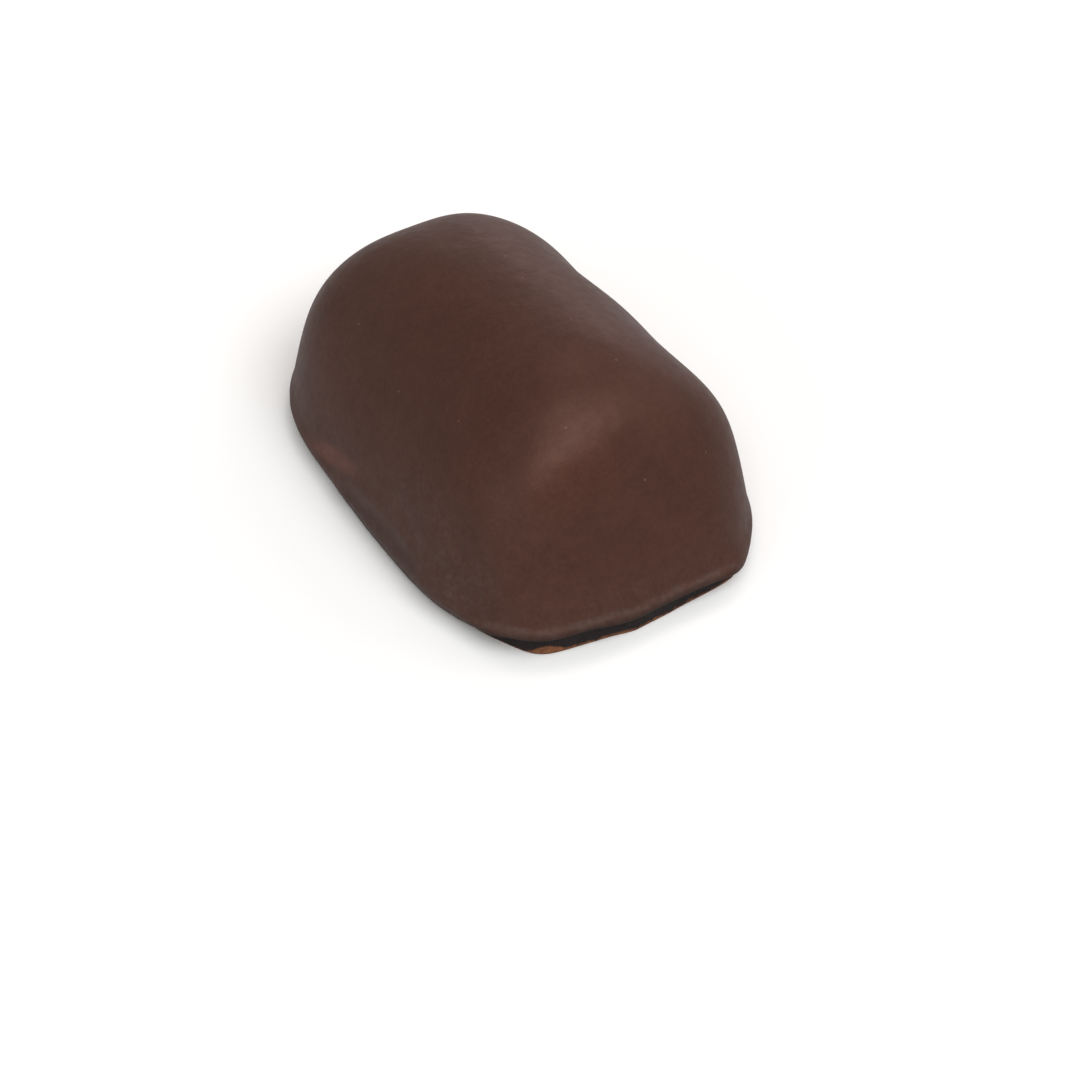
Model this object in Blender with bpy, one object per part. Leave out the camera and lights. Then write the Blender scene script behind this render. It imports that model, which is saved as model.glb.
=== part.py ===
"""A small chocolate-coated bite: a smooth rounded coat over a thin biscuit base, lying flat.

+X runs along the bite to its sloping front end, -Y is its left side, +Z is up.
The origin is the middle of the underside of the bounding box. Sizes below are in millimetres.
"""

import bmesh
import bpy
import numpy as np

MM = 0.001

# How far the coat reaches from its axis at its widest height, towards each side
REACH = {"front": 15.85, "back": 20.5, "left": 12.95, "right": 11.35}
COAT_TOP = 15.4
WIDEST_HEIGHT = 1.75
LOWER_TUCK = 0.65

# Soft bead that runs round the coat where it folds under: how far it stands out, and half its breadth
BEAD = 0.14
BEAD_BREADTH = 0.5

# How far each wall leans in by the top, and how squarely it turns over there (2 is a plain arch)
LEAN = {"front": 6.5, "back": 0.4, "left": 3.15, "right": 0.55}
TURN = {"front": 3.75, "back": 3.5, "left": 2.25, "right": 2.1}

# Squareness of the plan outline at the foot and at the top (2 is an ellipse), and the rise of the ridge
PLAN_LOW = 3.4
PLAN_TOP = 3.3
RIDGE_RISE = 0.06
RIDGE_RUN = 14.2

# Height of the coat's lower lip: its mean, its least and most, waves as (turns, phase in degrees, height),
# then local rises as (direction in degrees, breadth in degrees, height)
LIP_MEAN = 0.75
LIP_LEAST = 0.4
LIP_MOST = 2.3
LIP_WAVES = ((1, 30, 0.4), (2, -15, 0.4), (3, -30, 0.3))
LIP_RISES = ((-40, 8, 0.64), (-30, 7, 0.24), (-20, 7, 0.31), (-10, 7, -0.09), (10, 7, 0.15), (19, 6, 0.25))

# Rings under the lip, from outside in: share of the way to the pocket's mouth, and drop below the lip
LIP_RINGS = ((0.25, 0.1), (0.6, 0.08), (1.0, -0.02))
LEAST_LEDGE = 0.3

# Soft swells and hollows: centre x, y, z, then radius and height
SWELLS = (
    (7.7, 10.4, 8.9, 2.6, 0.6),
    (-7.4, 9.5, 10.5, 2.0, -0.5),
    (2.0, 9.6, 10.8, 2.0, -0.15),
    (-12.9, 6.7, 12.1, 2.4, 0.15),
    (13.9, -8.2, 1.6, 2.4, 0.5),
    (9.6, -10.5, 1.6, 2.2, -0.35),
    (-7.0, -11.5, 1.8, 2.4, -0.2),
    (-16.3, -7.0, 7.8, 2.6, 0.45),
    (14.3, 9.6, 2.6, 2.2, -0.3),
    (15.5, 5.9, 1.4, 1.4, 0.45),
    (15.8, -2.8, 2.2, 1.6, 0.28),
)

# Thin base: how far it stands in from the coat's widest outline, then bulges of that outline
# as (direction in degrees, breadth in degrees, reach)
BASE_INSET = {"front": 0.5, "back": 1.0, "left": 1.1, "right": 1.0}
BASE_BULGES = ((28, 7, 0.5), (18, 7, -0.07), (8, 7, -0.15), (-3, 7, 0.5), (-14, 7, -0.06), (-31, 6, 0.54))
BASE_HEIGHT = 2.7
BASE_EDGE_ROUND = 0.18
FIT_GAP = 0.3

# The edge of the base leans in above a shoulder, which stands this far under the coat's lip
SHOULDER_DROP = 0.15
EDGE_LEAN = 1.2

# Small foot that flares out at the bottom of the base
FOOT_ROUND = 0.1
FOOT_TOP = 0.27
FOOT_WAIST = 0.44
FOOT_FLARE = 0.14

# Grid of the coat: cells along, across and up, and how the rows crowd towards the lip
CELLS_ALONG = 36
CELLS_ACROSS = 24
CELLS_UP = 20
ROW_CROWDING = 1.6

# Search along each ray: its end, as a multiple of the box's reach, and the number of halvings
RAY_END = 2.0
RAY_HALVINGS = 48
SMALL = 1e-6
CREASE_ANGLE = 50


def by_side(sizes, x, y):
    """Two arrays: the size that holds along x and the size that holds along y."""
    along = np.where(x >= 0, sizes["front"], sizes["back"])
    across = np.where(y >= 0, sizes["right"], sizes["left"])
    return along, across


def wall_reach(full, lean, turn, height):
    """Reach of one wall at a height: tucked in below the widest height, leaning and rounding above it."""
    up = np.clip((height - WIDEST_HEIGHT) / (COAT_TOP - WIDEST_HEIGHT), 0.0, 1.0)
    rounding = np.maximum(1.0 - up**turn, 0.0) ** (1.0 / turn)
    down = np.clip((WIDEST_HEIGHT - height) / WIDEST_HEIGHT, 0.0, 1.0)
    bead = BEAD * np.exp(-(((height - WIDEST_HEIGHT) / BEAD_BREADTH) ** 2))
    return (full - lean * up) * rounding - LOWER_TUCK * down**2 + bead


def inside_coat(x, y, z):
    """True where a point is inside the plain rounded form of the coat."""
    full = by_side(REACH, x, y)
    lean = by_side(LEAN, x, y)
    turn = by_side(TURN, x, y)
    along = np.maximum(wall_reach(full[0], lean[0], turn[0], z), SMALL)
    across = np.maximum(wall_reach(full[1], lean[1], turn[1], z), SMALL)
    power = PLAN_LOW + (PLAN_TOP - PLAN_LOW) * z / COAT_TOP
    return (z < COAT_TOP) & ((np.abs(x) / along) ** power + (np.abs(y) / across) ** power < 1.0)


def lip_height(angle):
    """Height of the lower lip of the coat at an angle round the bite."""
    height = np.full_like(angle, LIP_MEAN)
    for turns, phase, wave in LIP_WAVES:
        height += wave * np.cos(turns * angle - np.radians(phase))
    for place, width, rise in LIP_RISES:
        height += rise * np.exp(-(((np.degrees(angle) - place) / width) ** 2))
    return np.clip(height, LIP_LEAST, LIP_MOST)


def grid_box():
    """A box from -1 to 1 in plan and 0 to 1 in height, cut into an even grid, with no bottom."""
    bm = bmesh.new()
    bmesh.ops.create_cube(bm, size=2.0)
    for vert in bm.verts:
        vert.co.z = 0.0 if vert.co.z < 0 else 1.0
    for axis, cells in enumerate((CELLS_ALONG, CELLS_ACROSS, CELLS_UP)):
        edges = [e for e in bm.edges if abs(e.verts[0].co[axis] - e.verts[1].co[axis]) > SMALL]
        bmesh.ops.subdivide_edges(bm, edges=edges, cuts=cells - 1)
    bottom = [f for f in bm.faces if all(v.co.z < SMALL for v in f.verts)]
    bmesh.ops.delete(bm, geom=bottom, context="FACES")
    return bm


def onto_coat(points):
    """Moves the points of the grid box out or in along rays until they lie on the coat's form."""
    u, v, w = points.T
    along, across = by_side(REACH, u, v)
    angle = np.arctan2(v * across, u * along)
    level = w**ROW_CROWDING
    start = LIP_MEAN + (lip_height(angle) - LIP_MEAN) * (1.0 - level)
    ray = np.stack([u * along, v * across, level * (COAT_TOP - start)], axis=1)
    low = np.zeros(len(points))
    high = np.full(len(points), RAY_END)
    for _ in range(RAY_HALVINGS):
        middle = (low + high) / 2
        x, y, z = (ray * middle[:, None]).T
        inside = inside_coat(x, y, z + start)
        low = np.where(inside, middle, low)
        high = np.where(inside, high, middle)
    placed = ray * low[:, None]
    placed[:, 2] += start
    placed[:, 2] *= 1.0 + RIDGE_RISE * placed[:, 0] / RIDGE_RUN
    return placed


def pocket_mouth(lips):
    """Angles and radii of the pocket's mouth, on the rays through the points of the lip."""
    angle = np.arctan2(lips[:, 1], lips[:, 0])
    c, s = np.cos(angle), np.sin(angle)
    along, across = by_side({side: REACH[side] - BASE_INSET[side] for side in REACH}, c, s)
    radius = ((np.abs(c) / along) ** PLAN_LOW + (np.abs(s) / across) ** PLAN_LOW) ** (-1.0 / PLAN_LOW)
    for place, width, bulge in BASE_BULGES:
        radius += bulge * np.exp(-(((np.degrees(angle) - place) / width) ** 2))
    lip_radius = np.linalg.norm(lips[:, :2], axis=1)
    return angle, np.minimum(radius + FIT_GAP, lip_radius - LEAST_LEDGE)


def swell(bm):
    """Raises or sinks the skin round each swell along its own normals."""
    bm.normal_update()
    places = np.array([v.co for v in bm.verts])
    normals = np.array([v.normal for v in bm.verts])
    shift = np.zeros(len(places))
    for x, y, z, radius, height in SWELLS:
        distance = np.linalg.norm(places - (x, y, z), axis=1)
        shift += height * np.exp(-((distance / radius) ** 2) / 2)
    for vert, place in zip(bm.verts, places + normals * shift[:, None]):
        vert.co = place


def next_ring(bm, edges):
    """Extrudes a loop of edges and returns the new edges and the new points."""
    made = bmesh.ops.extrude_edge_only(bm, edges=edges)["geom"]
    new_edges = [g for g in made if isinstance(g, bmesh.types.BMEdge)]
    return new_edges, [g for g in made if isinstance(g, bmesh.types.BMVert)]


def make_coat():
    """The coat: rounded form, rolled lower lip, and the shallow pocket that takes the base."""
    bm = grid_box()
    for vert, place in zip(bm.verts, onto_coat(np.array([v.co for v in bm.verts]))):
        vert.co = place
    swell(bm)

    # Rings inward from the lip: rolled edge, underside, pocket mouth, pocket roof
    edges = [e for e in bm.edges if e.is_boundary]
    lip_of = {tuple(v.co): np.array(v.co) for e in edges for v in e.verts}
    for inward, drop in LIP_RINGS:
        edges, verts = next_ring(bm, edges)
        lips = np.array([lip_of[tuple(v.co)] for v in verts])
        angle, radius = pocket_mouth(lips)
        mouth = np.stack([radius * np.cos(angle), radius * np.sin(angle), lips[:, 2]], axis=1)
        for vert, place in zip(verts, lips + (mouth - lips) * inward):
            vert.co = place
            vert.co.z -= drop
        lip_of = {tuple(v.co): lip for v, lip in zip(verts, lips)}
    edges, verts = next_ring(bm, edges)
    for vert in verts:
        reach = vert.co.xy.length
        vert.co.xy = vert.co.xy * (reach - EDGE_LEAN) / reach
        vert.co.z = BASE_HEIGHT + FIT_GAP
    bmesh.ops.contextual_create(bm, geom=edges)
    bmesh.ops.recalc_face_normals(bm, faces=bm.faces)
    return bm, lips


def make_base(lips):
    """The thin base: a slab with a small flared foot and a leaning edge, following the pocket's mouth."""
    angle, radius = pocket_mouth(lips)
    order = np.argsort(angle)
    angle, radius = angle[order], radius[order] - FIT_GAP
    shoulder = np.maximum(lips[order, 2] - SHOULDER_DROP, FOOT_WAIST + FOOT_ROUND)
    rings = (
        (FOOT_FLARE, 0.0),
        (0.0, FOOT_ROUND),
        (0.0, FOOT_TOP),
        (FOOT_FLARE, FOOT_WAIST),
        (FOOT_FLARE, shoulder),
        (FOOT_FLARE + EDGE_LEAN, BASE_HEIGHT - BASE_EDGE_ROUND),
        (FOOT_FLARE + EDGE_LEAN + BASE_EDGE_ROUND, BASE_HEIGHT),
    )
    bm = bmesh.new()
    loops = []
    for inset, height in rings:
        reach = radius - inset
        level = np.broadcast_to(height, angle.shape)
        ring = np.stack([reach * np.cos(angle), reach * np.sin(angle), level], axis=1)
        loops.append([bm.verts.new(place) for place in ring])
    for lower, upper in zip(loops, loops[1:]):
        for i in range(len(lower)):
            j = (i + 1) % len(lower)
            bm.faces.new((lower[i], lower[j], upper[j], upper[i]))
    bm.faces.new(loops[0][::-1])
    bm.faces.new(loops[-1])
    bmesh.ops.recalc_face_normals(bm, faces=bm.faces)
    return bm


def plain_material(name, colour, roughness, coat):
    material = bpy.data.materials.new(name)
    material.use_nodes = True
    shader = material.node_tree.nodes["Principled BSDF"]
    shader.inputs["Base Color"].default_value = (*colour, 1.0)
    shader.inputs["Roughness"].default_value = roughness
    shader.inputs["Coat Weight"].default_value = coat
    return material


def add_object(name, bm, centre, material):
    """Writes a mesh in metres, moved so that the centre of the bite stands on the origin."""
    for vert in bm.verts:
        vert.co = [(vert.co[0] - centre[0]) * MM, (vert.co[1] - centre[1]) * MM, vert.co[2] * MM]
    mesh = bpy.data.meshes.new(name)
    bm.to_mesh(mesh)
    bm.free()
    mesh.materials.append(material)
    thing = bpy.data.objects.new(name, mesh)
    bpy.context.scene.collection.objects.link(thing)
    bpy.ops.object.select_all(action="DESELECT")
    thing.select_set(True)
    bpy.context.view_layer.objects.active = thing
    bpy.ops.object.shade_smooth()
    mesh.set_sharp_from_angle(angle=np.radians(CREASE_ANGLE))
    return thing


for old in list(bpy.data.objects):
    bpy.data.objects.remove(old, do_unlink=True)

coat_mesh, lip_points = make_coat()
base_mesh = make_base(lip_points)
outer = np.array([v.co for v in coat_mesh.verts])
middle_point = (outer.min(axis=0) + outer.max(axis=0)) / 2
chocolate = plain_material("milk_dark_chocolate", (0.08, 0.042, 0.032), 0.42, 0.15)
biscuit = plain_material("biscuit_brown", (0.2, 0.09, 0.045), 0.7, 0.0)
add_object("chocolate_coat", coat_mesh, middle_point, chocolate)
add_object("biscuit_base", base_mesh, middle_point, biscuit)
print("size in mm:", np.round(np.ptp(outer, axis=0), 2), "middle:", np.round(middle_point, 3))
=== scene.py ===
# %% [markdown]
# # A chocolate-coated biscuit bite
#
# The real thing is a small sweet, about 37 mm long: a soft log on a thin biscuit, run under
# a curtain of melted chocolate and left to set on a flat belt. The coat comes out smooth
# and rounded, ends in a soft lip close to the belt, and lets a little of the base show
# underneath. The solid model has both parts at their real size, so we load it first and
# keep its box: nothing that we make may stand outside it.

import math

import bpy
import numpy as np
from mathutils import Matrix, Vector
from mathutils.bvhtree import BVHTree


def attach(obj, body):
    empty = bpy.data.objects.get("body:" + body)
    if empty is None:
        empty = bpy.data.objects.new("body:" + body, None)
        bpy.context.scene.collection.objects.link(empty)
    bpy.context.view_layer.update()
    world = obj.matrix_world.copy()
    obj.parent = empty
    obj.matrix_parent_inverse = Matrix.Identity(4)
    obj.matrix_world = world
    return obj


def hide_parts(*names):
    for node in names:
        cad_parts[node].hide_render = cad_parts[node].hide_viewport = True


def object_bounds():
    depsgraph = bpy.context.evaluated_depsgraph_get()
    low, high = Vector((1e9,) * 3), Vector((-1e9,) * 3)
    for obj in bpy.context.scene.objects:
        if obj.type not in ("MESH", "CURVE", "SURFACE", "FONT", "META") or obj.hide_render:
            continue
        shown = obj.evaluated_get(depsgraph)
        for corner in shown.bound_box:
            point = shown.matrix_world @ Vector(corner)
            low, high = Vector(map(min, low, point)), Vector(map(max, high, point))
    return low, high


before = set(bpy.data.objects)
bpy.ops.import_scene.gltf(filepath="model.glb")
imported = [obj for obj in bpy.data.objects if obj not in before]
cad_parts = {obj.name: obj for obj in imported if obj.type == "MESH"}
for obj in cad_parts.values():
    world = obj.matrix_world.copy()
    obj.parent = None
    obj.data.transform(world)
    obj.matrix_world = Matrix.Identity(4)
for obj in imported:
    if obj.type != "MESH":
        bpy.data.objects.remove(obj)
cad_low, cad_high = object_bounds()
MM = 0.001
print("box of the solids in mm:", [round(s / MM, 2) for s in cad_high - cad_low])

# %% [markdown]
# ## The camera
#
# The sweet is seen from above and from one corner, through a long lens, so that its far
# end hardly gets smaller. We work out three directions from two angles: towards the
# camera, to the right of the picture, and up the picture. A matrix of those three turns
# the camera exactly, with no roll.

# %% Point the camera
AZIMUTH = math.radians(58.974)
ELEVATION = math.radians(43.035)
DISTANCE = 260.0 * MM
LENS = 124.35
SENSOR = 36.0
AIM = Vector((2.203, 0.789, 0.0)) * MM
SLIDE_RIGHT, SLIDE_UP = 0.029 * MM, -3.670 * MM

right = Vector((math.cos(AZIMUTH), math.sin(AZIMUTH), 0.0))
level = Vector((math.sin(AZIMUTH), -math.cos(AZIMUTH), 0.0))
back = level * math.cos(ELEVATION) + Vector((0.0, 0.0, math.sin(ELEVATION)))
up = back.cross(right)

camera_data = bpy.data.cameras.new("camera")
camera_data.lens = LENS
camera_data.sensor_width = SENSOR
camera_data.clip_start = 10 * MM
camera = bpy.data.objects.new("camera", camera_data)
bpy.context.scene.collection.objects.link(camera)
place = AIM + back * DISTANCE + right * SLIDE_RIGHT + up * SLIDE_UP
camera.matrix_world = Matrix.Translation(place) @ Matrix((right, up, back)).transposed().to_4x4()
bpy.context.scene.camera = camera
print("camera in mm:", [round(c / MM, 1) for c in camera.location])

# %% [markdown]
# ## The table
#
# The sweet lies on a plain white table. A real white table would throw so much light up
# that the dark chocolate would get a bright rim all round, so this one is white where we
# look at it and a middle grey for the light that bounces off it. The Light Path node tells
# the two apart. It is only a stage: it isn't part of the sweet.

# %% Lay a white table
TABLE_SIDE = 1.6
TABLE_SEEN = (0.95, 0.99, 0.99, 1.0)
TABLE_BOUNCE = (0.55, 0.55, 0.55, 1.0)
TABLE_ROUGHNESS = 0.9

bpy.ops.object.select_all(action="DESELECT")
bpy.ops.mesh.primitive_plane_add(size=TABLE_SIDE, location=(0.0, 0.0, 0.0))
table = bpy.context.object
table.name = "table"
table_finish = bpy.data.materials.new("matt_white_table")
table_finish.use_nodes = True
nodes, links = table_finish.node_tree.nodes, table_finish.node_tree.links
path = nodes.new("ShaderNodeLightPath")
tone = nodes.new("ShaderNodeMixRGB")
tone.inputs["Color1"].default_value = TABLE_BOUNCE
tone.inputs["Color2"].default_value = TABLE_SEEN
links.new(path.outputs["Is Camera Ray"], tone.inputs["Fac"])
links.new(tone.outputs["Color"], nodes["Principled BSDF"].inputs["Base Color"])
nodes["Principled BSDF"].inputs["Roughness"].default_value = TABLE_ROUGHNESS
nodes["Principled BSDF"].inputs["Specular IOR Level"].default_value = 0.0
table.data.materials.append(table_finish)

# %% [markdown]
# ## The light
#
# Chocolate is dark and only half glossy, so most of what we see on it is the room. One
# wide soft lamp, high in front of the near end, does most of the work, and a narrow one in it
# draws the long highlight on the shoulder. Lower lamps behind and to the right put a sheen
# on the far edge, and the rest only lift the sides. Each lamp is a rectangle that faces the
# sweet from the same distance; the ones on the right are a little warm, the left one is cool.

# %% Hang the lamps
LAMP_DISTANCE = 0.8
LAMPS = {
    "front_top": ((0.55, -0.05, 0.83), (0.95, 0.45), 4.6, (1.0, 1.0, 1.0)),
    "shoulder": ((0.64, 0.02, 0.74), (0.6, 0.2), 0.6, (1.0, 1.0, 1.0)),
    "right_side": ((0.05, 0.75, 0.6), (0.6, 0.35), 0.75, (1.0, 0.9, 0.88)),
    "back_right": ((-0.65, 0.75, 0.25), (0.7, 0.25), 0.66, (1.0, 0.83, 0.83)),
    "left_side": ((0.15, -0.9, 0.4), (0.6, 0.35), 0.9, (0.9, 1.0, 1.0)),
    "back_top": ((-0.3, 0.35, 0.88), (0.35, 0.35), 0.54, (1.0, 0.9, 0.88)),
}
ROOM_LIGHT = 0.42
ROOM_TINT = (1.0, 0.86, 0.82)


def hang_lamp(name, direction, size, power, tint):
    """A soft rectangular lamp in a direction from the sweet, facing it."""
    data = bpy.data.lights.new(name, "AREA")
    data.shape = "RECTANGLE"
    data.size, data.size_y = size
    data.energy, data.color = power, tint
    made = bpy.data.objects.new(name, data)
    bpy.context.scene.collection.objects.link(made)
    towards = Vector(direction).normalized()
    made.location = towards * LAMP_DISTANCE
    made.rotation_mode = "QUATERNION"
    made.rotation_quaternion = (-towards).to_track_quat("-Z", "Y")


for name, lamp in LAMPS.items():
    hang_lamp(name, *lamp)
print("lamps:", len(LAMPS), "with", round(sum(lamp[2] for lamp in LAMPS.values()), 1), "watts")

world = bpy.data.worlds.new("room")
world.use_nodes = True
world.node_tree.nodes["Background"].inputs["Color"].default_value = (*ROOM_TINT, 1.0)
world.node_tree.nodes["Background"].inputs["Strength"].default_value = ROOM_LIGHT
bpy.context.scene.world = world
bpy.context.scene.view_settings.view_transform = "Standard"

# %% [markdown]
# ## The coat
#
# The node's mesh is loose flat triangles, which would catch the light as facets. We leave
# it alone and work on a copy: join its loose points, turn pairs of triangles back into
# the four-sided grid that they came from, and let a Subdivision Surface round it. That
# keeps the shape and size of the solid and gives the smooth skin of poured chocolate.

# %% Copy and join a node
JOIN = 0.001 * MM
FLATTEST, SQUAREST = math.radians(50), math.radians(60)


def pick(thing):
    """Makes one object the only selected one, and the active one."""
    bpy.ops.object.select_all(action="DESELECT")
    thing.select_set(True)
    bpy.context.view_layer.objects.active = thing


def copy_of_node(node, name):
    """A new object with a joined copy of a node's mesh, mostly in four-sided faces."""
    made = bpy.data.objects.new(name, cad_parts[node].data.copy())
    bpy.context.scene.collection.objects.link(made)
    made.data.materials.clear()
    pick(made)
    bpy.ops.object.mode_set(mode="EDIT")
    bpy.ops.mesh.select_mode(type="VERT")
    bpy.ops.mesh.select_all(action="SELECT")
    bpy.ops.mesh.remove_doubles(threshold=JOIN)
    bpy.ops.mesh.normals_make_consistent(inside=False)
    bpy.ops.mesh.tris_convert_to_quads(face_threshold=FLATTEST, shape_threshold=SQUAREST)
    bpy.ops.mesh.select_all(action="DESELECT")
    bpy.ops.object.mode_set(mode="OBJECT")
    return made


coat = copy_of_node("chocolate_coat", "chocolate_shell")
print("coat grid:", len(coat.data.polygons), "faces")


# %% Round the coat
def rounded(thing, levels):
    """Rounds a mesh with an applied Subdivision Surface."""
    pick(thing)
    smooth = thing.modifiers.new("rounding", "SUBSURF")
    smooth.levels = smooth.render_levels = levels
    bpy.ops.object.modifier_apply(modifier=smooth.name)
    bpy.ops.object.shade_smooth()


rounded(coat, 2)
print("coat skin:", len(coat.data.polygons), "faces")

# %% [markdown]
# ## Soft relief
#
# Poured chocolate is never as even as a computed form. Where it ran down and met the belt
# it kept a soft fold, and a finger's touch or an air bubble leaves a shallow dent. Each is
# made as by hand: we select the points close to a line, and move them along their normals
# with proportional editing, so that the skin round them follows and fades out.


# %% Press and raise the skin
SHORTEST = 1e-9


def places_of(thing):
    """The points of a mesh, in millimetres."""
    flat = np.empty(len(thing.data.vertices) * 3)
    thing.data.vertices.foreach_get("co", flat)
    return flat.reshape(-1, 3) / MM


def distance_to_line(points, line):
    """Distance from each point to a line through a few places."""
    least = np.full(len(points), np.inf)
    for start, end in zip(np.array(line[:-1]), np.array(line[1:])):
        run = end - start
        along = np.clip((points - start) @ run / max(np.dot(run, run), SHORTEST), 0.0, 1.0)
        gap = points - start - along[:, None] * run
        least = np.minimum(least, np.linalg.norm(gap, axis=1))
    return least


def push_skin(thing, line, core, breadth, height):
    """Moves the skin near a line along its normals: out by a positive height, in by a negative one."""
    near = distance_to_line(places_of(thing), line) < core
    pick(thing)
    thing.data.vertices.foreach_set("select", near)
    bpy.ops.object.mode_set(mode="EDIT")
    bpy.ops.transform.shrink_fatten(
        value=height * MM,
        use_proportional_edit=True,
        proportional_edit_falloff="SMOOTH",
        proportional_size=breadth * MM,
    )
    bpy.ops.mesh.select_all(action="DESELECT")
    bpy.ops.object.mode_set(mode="OBJECT")
    return int(near.sum())


# %% [markdown]
# ## The lip
#
# At the very bottom the coat draws together in a small round bead, because melted chocolate
# hangs there before it sets. The bead stands just above the lip's edge, all the way round, and it
# catches a thin line of light, which the finish makes stronger with a painted highlight. We find the
# lip on the mesh itself: in every direction it is the lowest place where the skin still faces outward.

# %% Find the lip
LIP_STEP = 5
LIP_SEARCH = 2.8
LEAST_OUTWARD = 0.8


def directions_of(thing):
    """The normals of a mesh's points."""
    flat = np.empty(len(thing.data.vertices) * 3)
    thing.data.vertices.foreach_get("normal", flat)
    return flat.reshape(-1, 3)


def lip_line(thing):
    """Places along the lip, one in each step of direction, closed into a ring."""
    points, facing = places_of(thing), directions_of(thing)
    outward = (points * facing)[:, :2].sum(axis=1) / np.linalg.norm(points[:, :2], axis=1)
    wall = points[(outward > LEAST_OUTWARD) & (points[:, 2] < LIP_SEARCH)]
    turn = np.degrees(np.arctan2(wall[:, 1], wall[:, 0])) // LIP_STEP
    line = [min(wall[turn == step], key=lambda place: place[2]) for step in np.unique(turn)]
    return np.array(line + line[:1])


lip = lip_line(coat)
print("lip height in mm from", lip[:, 2].min().round(2), "to", lip[:, 2].max().round(2))

# %% [markdown]
# Every push needs three sizes in millimetres: how close to its line a point is taken, how far
# the skin round it follows, and how high it rises, or sinks where the height is below zero.

# %% Draw the bead
BEAD_ABOVE = (0.0, 0.0, 0.22)
BEAD_PUSH = (0.16, 0.5, 0.04)

moved = push_skin(coat, lip + BEAD_ABOVE, *BEAD_PUSH)
print("points in the bead:", moved)

# %% [markdown]
# ## The long side
#
# On its left side the coat ran down, met the belt's edge and folded over softly: a low rounded
# fold, with a slightly hollow strip under it that fades out towards the near end. Higher up
# is one short shallow crease.

# %% Fold the long side
FOLD = [(-3.2, -12.0, 2.0), (-1.9, -11.9, 2.6), (1.2, -11.9, 3.1), (3.9, -11.9, 3.3)]
FOLD += [(6.5, -11.9, 3.0), (9.5, -11.6, 2.2)]
UNDER_FOLD = [(-1.5, -11.9, 1.75), (1.2, -11.9, 2.1), (3.9, -11.9, 2.25), (6.5, -11.9, 2.0)]
CREASE = [(8.9, -9.9, 7.0), (10.0, -10.0, 6.4), (10.7, -10.1, 5.7)]
FOLD_PUSH = (0.5, 1.4, 0.09)
UNDER_FOLD_PUSH = (0.45, 1.2, -0.09)
CREASE_PUSH = (0.3, 1.4, -0.12)

push_skin(coat, FOLD, *FOLD_PUSH)
push_skin(coat, UNDER_FOLD, *UNDER_FOLD_PUSH)
moved = push_skin(coat, CREASE, *CREASE_PUSH)
print("points in the crease:", moved)

# %% [markdown]
# ## The near end
#
# Where the top turns down to the near end the coat is a little thicker, like a soft ridge
# with two low humps, and that's where the highlight sits. Below it the slope sank in a
# little as it cooled.

# %% Shape the near end
RIDGE = [(11.7, -5.4, 11.3), (11.9, -3.6, 12.1), (12.0, -1.7, 12.5)]
RIDGE += [(11.7, 0.0, 12.9), (11.4, 1.1, 13.1)]
HUMPS = (12.0, -2.8, 12.3), (11.5, 0.6, 13.0)
SUNK = [(14.9, -2.2, 7.6), (14.7, 1.2, 8.2)]
RIDGE_PUSH, HUMP_PUSH, SUNK_PUSH = (0.4, 2.4, 0.1), (0.5, 1.4, 0.03), (1.0, 5.0, -0.22)

push_skin(coat, RIDGE, *RIDGE_PUSH)
for top in HUMPS:
    push_skin(coat, [top, top], *HUMP_PUSH)
moved = push_skin(coat, SUNK, *SUNK_PUSH)
print("points in the sunk slope:", moved)

# %% [markdown]
# ## Marks for the finish
#
# The finish paints a highlight along the lip and the fold, and shade under the lip and in the strip
# under the fold. Those lines run over the skin as they please, so no simple pattern follows them.
# We write the closeness to each line on the points of the mesh instead, and the finish reads it there.

# %% Mark the skin close to a line
LIP_REACH, FOLD_REACH, HOLLOW_REACH = 1.1, 0.9, 1.5
FOLD_SHOWN = 5


def mark_near(thing, name, line, reach):
    """Stores a value at each point: 1 on the line, falling to 0 at the reach."""
    away = distance_to_line(places_of(thing), line)
    near = np.clip(1.0 - away / reach, 0.0, 1.0).astype(np.float32)
    thing.data.attributes.new(name, "FLOAT", "POINT").data.foreach_set("value", near)
    print(name, "- points:", int((near > 0.0).sum()))


mark_near(coat, "near_lip", lip, LIP_REACH)
mark_near(coat, "near_fold", FOLD[:FOLD_SHOWN], FOLD_REACH)
mark_near(coat, "near_hollow", UNDER_FOLD, HOLLOW_REACH)

# %% [markdown]
# The bead and the fold may have pushed a few points past the box of the solids. They go back
# onto its sides, so that the looks are never larger than the part.

# %% Keep the coat inside its box
inside = np.clip(places_of(coat), np.array(cad_low) / MM, np.array(cad_high) / MM)
print("moved back at most, in mm:", np.abs(inside - places_of(coat)).max().round(3))
coat.data.vertices.foreach_set("co", (inside * MM).ravel())
coat.data.update()

# %% [markdown]
# ## The base
#
# Only a thin band of the base shows under the lip, with a small foot that spread on the
# belt. It gets the same treatment as the coat.

# %% Round the base
base = copy_of_node("biscuit_base", "biscuit_slab")
rounded(base, 2)
print("base:", len(base.data.polygons), "faces")

# %% [markdown]
# ## Keep the two apart
#
# The coat has a pocket for the base, with a small gap all round. Rounding made that pocket a
# little smaller, so the two meshes would cut each other where nobody sees it. Each point of one
# that comes too close to the other, or went in a little, goes back out along the normal of
# the nearest face. It is done for the coat first and then for the base.

# %% Clear the pocket
GAP, DEEPEST = 0.15, 0.45


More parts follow.
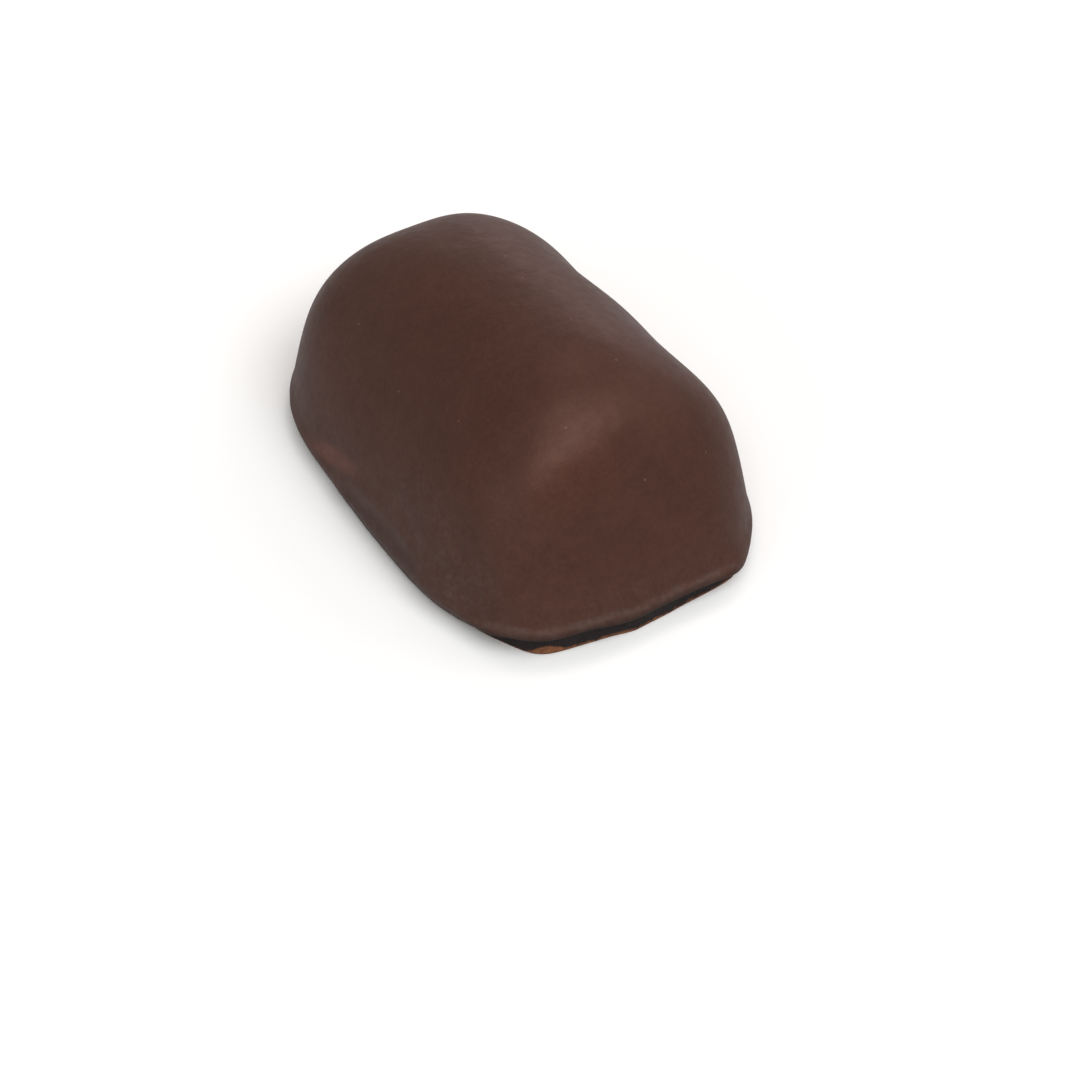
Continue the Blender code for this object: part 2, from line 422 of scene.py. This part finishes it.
def keep_clear(thing, other, gap):
    """Moves points of a mesh that are closer to another mesh than a gap back to that gap."""
    skin = BVHTree.FromPolygons(
        [point.co / MM for point in other.data.vertices],
        [face.vertices[:] for face in other.data.polygons],
    )
    moved = 0
    for point in thing.data.vertices:
        place = point.co / MM
        spot, normal, _, away = skin.find_nearest(place)
        sunk_in = (place - spot).dot(normal) < 0.0 and away < DEEPEST
        if away < gap or sunk_in:
            point.co = (spot + normal * gap) * MM
            moved += 1
    thing.data.update()
    return moved


print("points of the coat moved clear:", keep_clear(coat, base, GAP))
print("points of the base moved clear:", keep_clear(base, coat, GAP))

# %% [markdown]
# ## Finishes: small tools
#
# Both finishes use the same few effects, so each effect becomes a node group with named
# inputs. To write them briefly, one helper adds a node and fills its inputs, and another
# opens an empty group. All patterns read the object's own coordinates, changed to
# millimetres, so that a size in a group is a size on the sweet.


# %% Node helpers
def put(tree, kind, inputs, **settings):
    """Adds a node: plain values fill its inputs, and sockets are linked to them."""
    made = tree.nodes.new(kind)
    for key, value in settings.items():
        setattr(made, key, value)
    for key, value in inputs.items():
        if isinstance(value, bpy.types.NodeSocket):
            tree.links.new(value, made.inputs[key])
        else:
            made.inputs[key].default_value = value
    return made


def open_group(name, takes, gives):
    """A new shader node group with its input and output nodes; each socket is a (name, kind)."""
    tree = bpy.data.node_groups.new(name, "ShaderNodeTree")
    for direction, sockets in (("INPUT", takes), ("OUTPUT", gives)):
        for title, kind in sockets:
            tree.interface.new_socket(title, in_out=direction, socket_type="NodeSocket" + kind)
    return tree, tree.nodes.new("NodeGroupInput"), tree.nodes.new("NodeGroupOutput")


def use_group(tree, group, inputs):
    """Adds a group to a node tree and gives its first output."""
    return put(tree, "ShaderNodeGroup", inputs, node_tree=group).outputs[0]


def math_node(tree, operation, first, second):
    """One calculation with two values."""
    return put(tree, "ShaderNodeMath", {0: first, 1: second}, operation=operation).outputs[0]


def smooth_step(tree, value, low, high, start, end):
    """A soft ramp of a value: start at low, end at high."""
    inputs = {"Value": value, "From Min": low, "From Max": high, "To Min": start, "To Max": end}
    return put(tree, "ShaderNodeMapRange", inputs, interpolation_type="SMOOTHSTEP").outputs["Result"]


# %% [markdown]
# The first group makes soft blotches: a tone round 1 that swings by the contrast, in clouds
# of the given size.

# %% Group: blotches
CLOUD_LOW, CLOUD_HIGH, CLOUD_DETAIL = 0.3, 0.7, 2.0
tree, takes, gives = open_group(
    "blotches",
    [("Place", "Vector"), ("Size", "Float"), ("Contrast", "Float")],
    [("Tone", "Float")],
)
finer = math_node(tree, "DIVIDE", 1.0, takes.outputs["Size"])
stretch = {0: takes.outputs["Place"], "Scale": finer}
scaled = put(tree, "ShaderNodeVectorMath", stretch, operation="SCALE").outputs[0]
cloud = put(tree, "ShaderNodeTexNoise", {"Vector": scaled, "Scale": 1.0, "Detail": CLOUD_DETAIL})
swing = smooth_step(tree, cloud.outputs["Fac"], CLOUD_LOW, CLOUD_HIGH, -1.0, 1.0)
share = math_node(tree, "MULTIPLY", swing, takes.outputs["Contrast"])
tree.links.new(math_node(tree, "ADD", share, 1.0), gives.inputs["Tone"])
blotches = tree

# %% [markdown]
# The second group scatters small round dots. Space is cut into uneven cells, each cell may
# hold one dot, and the share says how many of the cells really do.

# %% Group: specks
DOT_EDGE = 1.5
tree, takes, gives = open_group(
    "specks",
    [("Place", "Vector"), ("Spacing", "Float"), ("Dot", "Float"), ("Share", "Float")],
    [("Mask", "Float")],
)
finer = math_node(tree, "DIVIDE", 1.0, takes.outputs["Spacing"])
cells = put(tree, "ShaderNodeTexVoronoi", {"Vector": takes.outputs["Place"], "Scale": finer})
reach = math_node(tree, "MULTIPLY", cells.outputs["Distance"], takes.outputs["Spacing"])
wide = math_node(tree, "MULTIPLY", takes.outputs["Dot"], DOT_EDGE)
dot = put(
    tree,
    "ShaderNodeMapRange",
    {"Value": reach, "From Min": takes.outputs["Dot"], "From Max": wide, "To Min": 1.0, "To Max": 0.0},
)
chance = put(tree, "ShaderNodeSeparateColor", {"Color": cells.outputs["Color"]})
chosen = math_node(tree, "LESS_THAN", chance.outputs["Red"], takes.outputs["Share"])
tree.links.new(math_node(tree, "MULTIPLY", dot.outputs["Result"], chosen), gives.inputs["Mask"])
specks = tree

# %% [markdown]
# The third group adds up the height of the skin from three things: a slow wave like orange
# peel, a fine grain, and pits where small bubbles burst. Heights are in millimetres.

# %% Group: skin height
PEEL_SIZE, GRAIN_SIZE = 1.6, 0.16
PIT_SPACING, PIT_SHARE = 2.6, 0.3
tree, takes, gives = open_group(
    "skin_height",
    [("Place", "Vector")] + [(title, "Float") for title in ("Peel", "Grain", "Pit", "Pit Size")],
    [("Height", "Float")],
)
place = takes.outputs["Place"]
slow = {"Place": place, "Size": PEEL_SIZE, "Contrast": takes.outputs["Peel"]}
fine = {"Place": place, "Size": GRAIN_SIZE, "Contrast": takes.outputs["Grain"]}
holes = {"Place": place, "Spacing": PIT_SPACING, "Dot": takes.outputs["Pit Size"], "Share": PIT_SHARE}
peel, grain = use_group(tree, blotches, slow), use_group(tree, blotches, fine)
pits = use_group(tree, specks, holes)
depth = math_node(tree, "MULTIPLY", pits, takes.outputs["Pit"])
skin = math_node(tree, "ADD", peel, grain)
tree.links.new(math_node(tree, "SUBTRACT", skin, depth), gives.inputs["Height"])
skin_height = tree

# %% [markdown]
# ## The chocolate
#
# Set chocolate is a dark red-brown. Low on the left side a thin grey bloom comes up. The grey there
# is partly that bloom and partly painted reflection of the white table, and it grows towards the
# bottom.
# Lighter lines along the fold and just above the lip are painted highlights. The lip's underside, the
# strip under the fold and the very foot get painted shade, and a redder patch at the highlight is
# painted.

# %% Start a finish
PER_METRE = 1000.0
BUMP_UNIT = 0.001
UNTURNED = (0.0, 0.0, 0.0)
FIRST_COLOUR, SECOND_COLOUR, MIXED_COLOUR = 6, 7, 2


def open_finish(name):
    """A new material: gives its tree, its shader and the object's coordinates in millimetres."""
    made = bpy.data.materials.new(name)
    made.use_nodes = True
    tree = made.node_tree
    spot = put(tree, "ShaderNodeTexCoord", {})
    inputs = {0: spot.outputs["Object"], "Scale": PER_METRE}
    place = put(tree, "ShaderNodeVectorMath", inputs, operation="SCALE").outputs[0]
    return made, tree, tree.nodes["Principled BSDF"], place


def mix_colour(tree, first, second, share):
    """Mixes two colours by a share from 0 to 1."""
    made = put(tree, "ShaderNodeMix", {"Factor": share}, data_type="RGBA")
    for index, value in ((FIRST_COLOUR, first), (SECOND_COLOUR, second)):
        if isinstance(value, bpy.types.NodeSocket):
            tree.links.new(value, made.inputs[index])
        else:
            made.inputs[index].default_value = (*value, 1.0)
    return made.outputs[MIXED_COLOUR]


def oval_mask(tree, place, centre, turn, halves, core):
    """1 inside a turned oval body, fading to 0 at its edge."""
    inputs = {"Vector": place, "Location": centre, "Rotation": turn, "Scale": halves}
    local = put(tree, "ShaderNodeMapping", inputs, vector_type="TEXTURE").outputs[0]
    far = put(tree, "ShaderNodeVectorMath", {0: local}, operation="LENGTH").outputs["Value"]
    return smooth_step(tree, far, core, 1.0, 1.0, 0.0)


def mark(tree, name):
    """The closeness to a line that was written on the mesh."""
    return put(tree, "ShaderNodeAttribute", {}, attribute_name=name).outputs["Fac"]


def mottle(tree, shader, place, colour, clouds):
    """Makes a colour uneven by clouds, each a (size, contrast), and gives it to the shader."""
    tone = 1.0
    for size, contrast in clouds:
        cloud = use_group(tree, blotches, {"Place": place, "Size": size, "Contrast": contrast})
        tone = math_node(tree, "MULTIPLY", tone, cloud)
    mottled = put(tree, "ShaderNodeVectorMath", {0: colour, "Scale": tone}, operation="SCALE")
    tree.links.new(mottled.outputs[0], shader.inputs["Base Color"])


def roughen(tree, shader, place, sizes):
    """Gives the shader a low relief of the skin."""
    height = use_group(tree, skin_height, {"Place": place, **sizes})
    bump = put(tree, "ShaderNodeBump", {"Distance": BUMP_UNIT, "Height": height})
    tree.links.new(bump.outputs[0], shader.inputs["Normal"])


# %% Chocolate: bloom, painted reflection and painted highlight lines
LEFT_BLOOM_REFLECTION_MIDDLE, LEFT_BLOOM_REFLECTION_HALVES, LEFT_BLOOM_REFLECTION_CORE, LEFT_BLOOM_REFLECTION_SHARE = (7.5, -11.5, 3.5), (12.0, 5.0, 7.5), 0.2, 0.32
LOW_REFLECTION_TOP, LOW_REFLECTION_FULL, LOW_REFLECTION_SHARE = 5.5, 1.8, 0.15
LIP_HIGHLIGHT_FULL, LIP_HIGHLIGHT_SHARE = 0.45, 0.4
FOLD_HIGHLIGHT_FULL, FOLD_HIGHLIGHT_SHARE = 0.9, 0.6
PATCHY = {"Size": 1.3, "Contrast": 0.5}
FINE_BREAKUP = {"Size": 0.4, "Contrast": 0.45}

chocolate, tree, shader, place = open_finish("milk_dark_chocolate")
height = put(tree, "ShaderNodeSeparateXYZ", {"Vector": place}).outputs["Z"]
near_lip = mark(tree, "near_lip")
# The grey on the lower left side is partly real bloom and partly painted reflection of the white
# table.
left_bloom_and_reflection = oval_mask(tree, place, LEFT_BLOOM_REFLECTION_MIDDLE, UNTURNED, LEFT_BLOOM_REFLECTION_HALVES, LEFT_BLOOM_REFLECTION_CORE)
spread = math_node(tree, "MULTIPLY", left_bloom_and_reflection, LEFT_BLOOM_REFLECTION_SHARE)
# Painted reflection: the coat gets greyer towards its bottom, where the table's light falls.
low_painted_reflection = smooth_step(tree, height, LOW_REFLECTION_TOP, LOW_REFLECTION_FULL, 0.0, LOW_REFLECTION_SHARE)
# Painted highlight: a lighter line just above the lip.
lip_painted_highlight = smooth_step(tree, near_lip, 0.0, LIP_HIGHLIGHT_FULL, 0.0, LIP_HIGHLIGHT_SHARE)
# Painted highlight: a lighter line along the fold.
fold_painted_highlight = smooth_step(tree, mark(tree, "near_fold"), 0.0, FOLD_HIGHLIGHT_FULL, 0.0, FOLD_HIGHLIGHT_SHARE)
for more in (low_painted_reflection, lip_painted_highlight, fold_painted_highlight):
    spread = math_node(tree, "MAXIMUM", spread, more)
patchy = use_group(tree, blotches, {"Place": place, **PATCHY})
fine_breakup = use_group(tree, blotches, {"Place": place, **FINE_BREAKUP})
bloom_and_sheen = math_node(tree, "MULTIPLY", spread, math_node(tree, "MULTIPLY", patchy, fine_breakup))

# %% [markdown]
# The colours go on in layers, each by the share of its mask: first the painted redder highlight, then
# the grey of bloom, painted reflection and painted highlight lines, and last the painted shade of the
# underside, the foot and the strip under the fold.

# %% Chocolate: the colours
CHOCOLATE, BLOOM_AND_SHEEN_GREY = (0.056, 0.0253, 0.0186), (0.078, 0.054, 0.047)
PAINTED_SHADE_COLOUR, HIGHLIGHT_RED = (0.02, 0.0125, 0.011), (0.083, 0.031, 0.0215)
HIGHLIGHT_RED_MIDDLE, HIGHLIGHT_RED_HALVES, HIGHLIGHT_RED_CORE, HIGHLIGHT_RED_SHARE = (12.5, -3.0, 11.2), (3.5, 5.5, 4.0), 0.1, 0.4
UNDER_LIP_SHADE_STARTS, UNDER_LIP_SHADE_SHARE = 0.5, 0.75
FOOT_SHADE_TOP, FOOT_SHADE_FULL, FOOT_SHADE_SHARE = 1.3, 0.75, 0.85
HOLLOW_SHADE_FULL, HOLLOW_SHADE_SHARE = 0.8, 0.3

# Painted highlight: a redder patch at the shoulder's highlight and its tail.
highlight_red = oval_mask(tree, place, HIGHLIGHT_RED_MIDDLE, UNTURNED, HIGHLIGHT_RED_HALVES, HIGHLIGHT_RED_CORE)
colour = mix_colour(tree, CHOCOLATE, HIGHLIGHT_RED, math_node(tree, "MULTIPLY", highlight_red, HIGHLIGHT_RED_SHARE))
colour = mix_colour(tree, colour, BLOOM_AND_SHEEN_GREY, bloom_and_sheen)
# Painted shade: the lip's underside, the coat's lowest 1.3 mm and the strip under the fold are
# darkened.
under_lip_shade = smooth_step(tree, near_lip, UNDER_LIP_SHADE_STARTS, 1.0, 0.0, UNDER_LIP_SHADE_SHARE)
foot_shade = smooth_step(tree, height, FOOT_SHADE_TOP, FOOT_SHADE_FULL, 0.0, FOOT_SHADE_SHARE)
hollow_shade = smooth_step(tree, mark(tree, "near_hollow"), 0.0, HOLLOW_SHADE_FULL, 0.0, HOLLOW_SHADE_SHARE)
painted_shade = math_node(tree, "MAXIMUM", math_node(tree, "MAXIMUM", under_lip_shade, foot_shade), hollow_shade)
colour = mix_colour(tree, colour, PAINTED_SHADE_COLOUR, painted_shade)

# %% [markdown]
# The coat has one warm, lighter streak painted on the left side as a highlight where its low ledge
# catches light, and a few small pale specks of dust.

# %% Chocolate: the streak and the specks
STREAK_HIGHLIGHT, STREAK_HIGHLIGHT_SHARE, STREAK_HIGHLIGHT_CLOUDS = (0.125, 0.05, 0.038), 0.7, {"Size": 0.5, "Contrast": 0.3}
STREAK_MIDDLE, STREAK_HALVES, STREAK_CORE = (-4.9, -11.5, 3.1), (4.6, 1.2, 0.95), 0.3
STREAK_TURN = (0.0, math.radians(-18.1), math.radians(2.1))
SPECK, SPECK_SHARE = (0.16, 0.095, 0.065), 0.5
SPECKS = {"Spacing": 1.5, "Dot": 0.07, "Share": 0.45}

# Painted highlight: a warm lighter streak where the low ledge of the left side catches light.
streak = oval_mask(tree, place, STREAK_MIDDLE, STREAK_TURN, STREAK_HALVES, STREAK_CORE)
streak_highlight = math_node(tree, "MULTIPLY", streak, use_group(tree, blotches, {"Place": place, **STREAK_HIGHLIGHT_CLOUDS}))
colour = mix_colour(tree, colour, STREAK_HIGHLIGHT, math_node(tree, "MULTIPLY", streak_highlight, STREAK_HIGHLIGHT_SHARE))
dust = use_group(tree, specks, {"Place": place, **SPECKS})
colour = mix_colour(tree, colour, SPECK, math_node(tree, "MULTIPLY", dust, SPECK_SHARE))
mottle(tree, shader, place, colour, ((5.0, 0.05), (1.1, 0.045), (0.3, 0.065)))

# %% [markdown]
# The gloss is a satin one: fairly rough, rougher where the grey of bloom and painted light lies, with
# a weak and warm reflection. A very low relief breaks it up: a slow wave, a fine grain and a few pits.

# %% Chocolate: the gloss
ROUGHNESS, BLOOM_AND_SHEEN_ROUGHNESS, UNEVEN = 0.41, 0.15, {"Size": 0.8, "Contrast": 0.07}
GLOSS, GLOSS_TINT = 0.27, (1.0, 0.63, 0.54, 1.0)
SKIN = {"Peel": 0.008, "Grain": 0.0015, "Pit": 0.03, "Pit Size": 0.06}

rough = math_node(tree, "MULTIPLY", use_group(tree, blotches, {"Place": place, **UNEVEN}), ROUGHNESS)
rough = math_node(tree, "ADD", rough, math_node(tree, "MULTIPLY", bloom_and_sheen, BLOOM_AND_SHEEN_ROUGHNESS))
tree.links.new(rough, shader.inputs["Roughness"])
shader.inputs["Specular IOR Level"].default_value = GLOSS
shader.inputs["Specular Tint"].default_value = GLOSS_TINT
roughen(tree, shader, place, SKIN)
coat.data.materials.append(chocolate)
print("nodes in the chocolate:", len(tree.nodes))

# %% [markdown]
# ## The base's finish
#
# Most of the base's edge is painted nearly black: a thin chocolate film under the lip, darkened as
# painted shade of the lip's shadow. Only at the very foot does the baked biscuit show, as an
# orange-brown line, and at the near corner as a thicker patch. So the border between the two is a
# height that wanders with a noise and rises at that corner.

# %% Base: colours
BISCUIT, FILM_AND_PAINTED_SHADE = (0.19, 0.08, 0.038), (0.02, 0.0155, 0.0155)
BORDER_SIDES, BORDER_NEAR_END, BORDER_SOFT = 0.12, 0.25, 0.1
NEAR_END_STARTS, NEAR_END_FULL = 14.5, 16.5
PATCH_MIDDLE, PATCH_HALVES, PATCH_CORE = (16.6, -7.2, 0.0), (1.3, 1.3, 1.5), 0.3
PATCH_RISE = 0.5
WANDER = {"Size": 0.7, "Contrast": 0.06}

biscuit, tree, shader, place = open_finish("baked_biscuit")
split = put(tree, "ShaderNodeSeparateXYZ", {"Vector": place}).outputs
border = smooth_step(tree, split["X"], NEAR_END_STARTS, NEAR_END_FULL, BORDER_SIDES, BORDER_NEAR_END)
patch = oval_mask(tree, place, PATCH_MIDDLE, UNTURNED, PATCH_HALVES, PATCH_CORE)
border = math_node(tree, "ADD", border, math_node(tree, "MULTIPLY", patch, PATCH_RISE))
wander = use_group(tree, blotches, {"Place": place, **WANDER})
above = math_node(tree, "SUBTRACT", math_node(tree, "ADD", split["Z"], wander), border)
# Painted shade: the nearly black band above the foot stands in for the shadow under the lip.
film_and_shade = smooth_step(tree, above, 1.0 - BORDER_SOFT, 1.0 + BORDER_SOFT, 0.0, 1.0)
mottle(tree, shader, place, mix_colour(tree, BISCUIT, FILM_AND_PAINTED_SHADE, film_and_shade), ((1.5, 0.12), (0.25, 0.2)))

# %% [markdown]
# Baked biscuit is dull and coarse, and the dark painted band on it a little smoother.

# %% Base: gloss
BISCUIT_ROUGHNESS, FILM_AND_SHADE_ROUGHNESS, BISCUIT_GLOSS = 0.8, 0.5, 0.2
CRUST = {"Peel": 0.02, "Grain": 0.01, "Pit": 0.05, "Pit Size": 0.12}

rough = smooth_step(tree, film_and_shade, 0.0, 1.0, BISCUIT_ROUGHNESS, FILM_AND_SHADE_ROUGHNESS)
tree.links.new(rough, shader.inputs["Roughness"])
shader.inputs["Specular IOR Level"].default_value = BISCUIT_GLOSS
roughen(tree, shader, place, CRUST)
base.data.materials.append(biscuit)
print("nodes in the biscuit:", len(tree.nodes))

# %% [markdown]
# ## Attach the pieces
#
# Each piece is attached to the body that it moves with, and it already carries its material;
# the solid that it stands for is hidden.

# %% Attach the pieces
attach(coat, "root")
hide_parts("chocolate_coat")
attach(base, "root")
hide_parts("biscuit_base")
